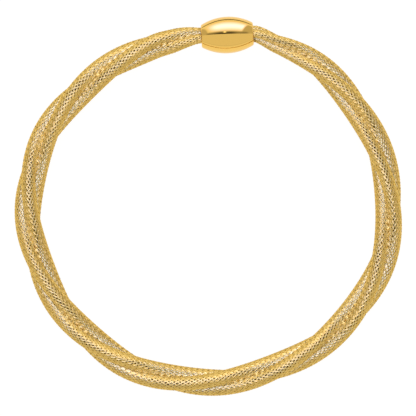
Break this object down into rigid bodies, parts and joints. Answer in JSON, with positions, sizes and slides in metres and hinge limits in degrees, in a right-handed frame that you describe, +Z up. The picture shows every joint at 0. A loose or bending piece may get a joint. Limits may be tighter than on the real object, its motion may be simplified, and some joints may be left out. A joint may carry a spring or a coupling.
{
  "type": "mesh stretch bracelet",
  "caption": "Closed loop bracelet of twisted round mesh strands, gathered in a short polished barrel bead with a through bore.",
  "frame": {"origin": "middle of the loop, in the plane of the table that the bracelet lies on", "axes": "+Z up through the loop, square to the table; +Y towards the bead, which lies 6.6 degrees round from it towards +X; +X to the right as seen from above"},
  "size_m": [0.0619, 0.0607, 0.0059],
  "materials": {
    "polished_gold": "mirror polished yellow gold",
    "gold_mesh": "braided tube of fine polished yellow gold wire"
  },
  "bodies": {
    "root": {"bead": "polished_gold", "strand_1": "gold_mesh", "strand_2": "gold_mesh", "strand_3": "gold_mesh"}
  },
  "joints": []
}
